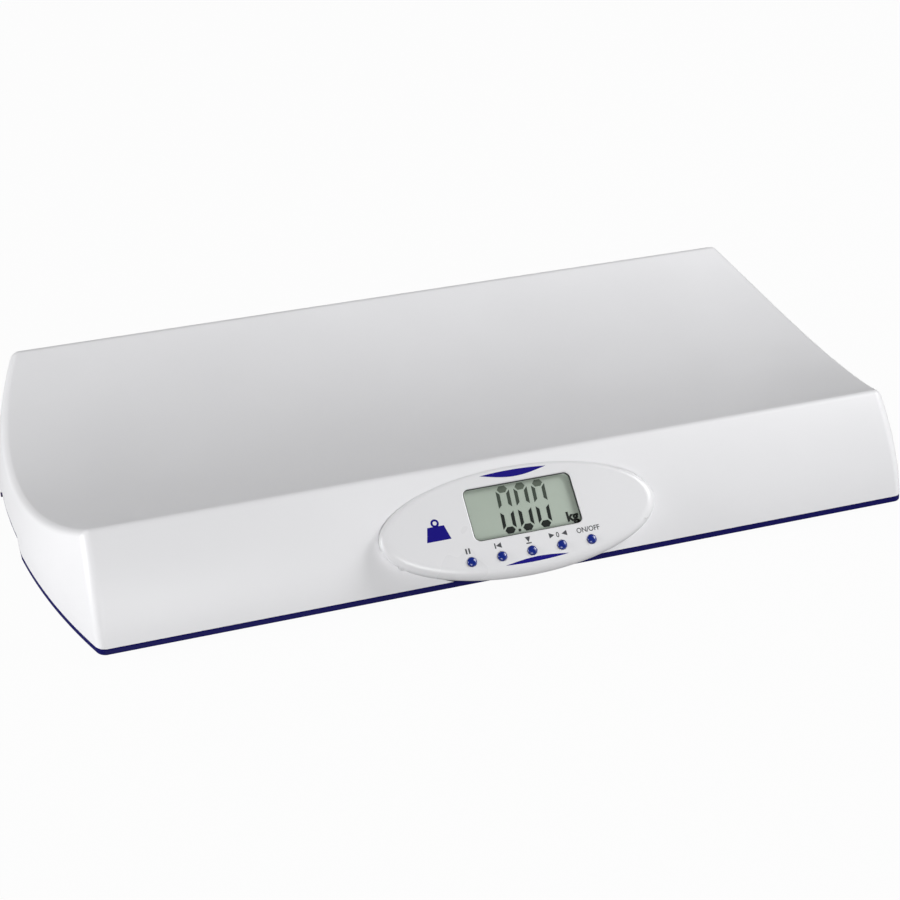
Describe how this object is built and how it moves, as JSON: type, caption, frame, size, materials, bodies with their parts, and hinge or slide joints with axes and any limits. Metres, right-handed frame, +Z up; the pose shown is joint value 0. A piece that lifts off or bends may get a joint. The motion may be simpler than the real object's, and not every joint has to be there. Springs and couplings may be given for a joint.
{
  "type": "baby weighing scale",
  "caption": "Long weighing scale with a concave tray for a lying baby, a closed moulded housing on load-cell feet, and an oval display pod with keys on the front.",
  "frame": {"origin": "On the table, below the middle of the bounding box: midway along the length, and midway between the display pod's front edge and the back of the base.", "axes": "+X along the length, to the right as the display faces you; +Y to the back; +Z up out of the tray."},
  "size_m": [0.5984, 0.3464, 0.071],
  "materials": {
    "white_abs": "moulded white ABS, satin",
    "white_abs_gloss": "moulded white ABS, semi-gloss",
    "navy_abs": "moulded navy-blue ABS",
    "clear_lens": "clear cast acrylic",
    "lcd_glass": "grey-green liquid crystal cell",
    "black_plastic": "black moulded plastic",
    "zebra_rubber": "layered contact rubber",
    "board_laminate": "solder-masked glass-epoxy laminate",
    "ivory_nylon": "natural nylon",
    "key_blue": "glossy royal-blue plastic",
    "zinc_screw": "zinc-plated steel",
    "cell_steel": "nickel-plated spring steel",
    "carrier_plastic": "off-white glass-filled plastic",
    "pad_rubber": "soft grey rubber",
    "cell_jacket": "plain printed cell jacket",
    "contact_plate": "nickel-plated spring plate",
    "lead_grey": "grey lead sheath",
    "lead_red": "red lead sheath",
    "lead_black": "black lead sheath"
  },
  "bodies": {
    "housing": {"upper_housing": "white_abs", "base_shell": "navy_abs", "display_pod": "white_abs_gloss", "display_lens": "clear_lens", "lcd_cell": "lcd_glass", "lcd_holder": "black_plastic", "lcd_connector": "zebra_rubber", "main_board": "board_laminate", "controller_chip": "black_plastic", "buzzer": "black_plastic", "lead_sockets": "ivory_nylon", "switch_hold_key": "black_plastic", "switch_recall_key": "black_plastic", "switch_store_key": "black_plastic", "switch_tare_key": "black_plastic", "switch_power_key": "black_plastic", "board_screws": "zinc_screw", "pod_screws": "zinc_screw", "housing_screws": "zinc_screw", "carrier_screws": "zinc_screw", "box_screws": "zinc_screw", "load_cell_front_left": "cell_steel", "cell_carrier_front_left": "carrier_plastic", "foot_front_left": "navy_abs", "foot_pad_front_left": "pad_rubber", "load_cell_front_right": "cell_steel", "cell_carrier_front_right": "carrier_plastic", "foot_front_right": "navy_abs", "foot_pad_front_right": "pad_rubber", "load_cell_rear_left": "cell_steel", "cell_carrier_rear_left": "carrier_plastic", "foot_rear_left": "navy_abs", "foot_pad_rear_left": "pad_rubber", "load_cell_rear_right": "cell_steel", "cell_carrier_rear_right": "carrier_plastic", "foot_rear_right": "navy_abs", "foot_pad_rear_right": "pad_rubber", "battery_box": "navy_abs", "battery_cell_1": "cell_jacket", "battery_cell_2": "cell_jacket", "battery_cell_3": "cell_jacket", "battery_cell_4": "cell_jacket", "battery_contacts": "contact_plate", "power_inlet": "black_plastic", "cell_leads": "lead_grey", "battery_lead": "lead_red", "inlet_lead": "lead_black"},
    "hold_key_body": {"hold_key": "key_blue", "plunger_hold_key": "ivory_nylon"},
    "recall_key_body": {"recall_key": "key_blue", "plunger_recall_key": "ivory_nylon"},
    "store_key_body": {"store_key": "key_blue", "plunger_store_key": "ivory_nylon"},
    "tare_key_body": {"tare_key": "key_blue", "plunger_tare_key": "ivory_nylon"},
    "power_key_body": {"power_key": "key_blue", "plunger_power_key": "ivory_nylon"},
    "door": {"battery_door": "navy_abs"}
  },
  "joints": [
    {"name": "hold_key_press", "type": "slide", "parent": "housing", "child": "hold_key_body", "axis": [0, 0.6428, -0.766], "range_m": [0, 0.0006], "stiffness_N_per_m": 1500},
    {"name": "recall_key_press", "type": "slide", "parent": "housing", "child": "recall_key_body", "axis": [0, 0.6428, -0.766], "range_m": [0, 0.0006], "stiffness_N_per_m": 1500},
    {"name": "store_key_press", "type": "slide", "parent": "housing", "child": "store_key_body", "axis": [0, 0.6428, -0.766], "range_m": [0, 0.0006], "stiffness_N_per_m": 1500},
    {"name": "tare_key_press", "type": "slide", "parent": "housing", "child": "tare_key_body", "axis": [0, 0.6428, -0.766], "range_m": [0, 0.0006], "stiffness_N_per_m": 1500},
    {"name": "power_key_press", "type": "slide", "parent": "housing", "child": "power_key_body", "axis": [0, 0.6428, -0.766], "range_m": [0, 0.0006], "stiffness_N_per_m": 1500},
    {"name": "battery_door_hinge", "type": "hinge", "parent": "housing", "child": "door", "pos_m": [0, 0.07653, 0.0075], "axis": [1, 0, 0], "range_deg": [0, 75]}
  ]
}
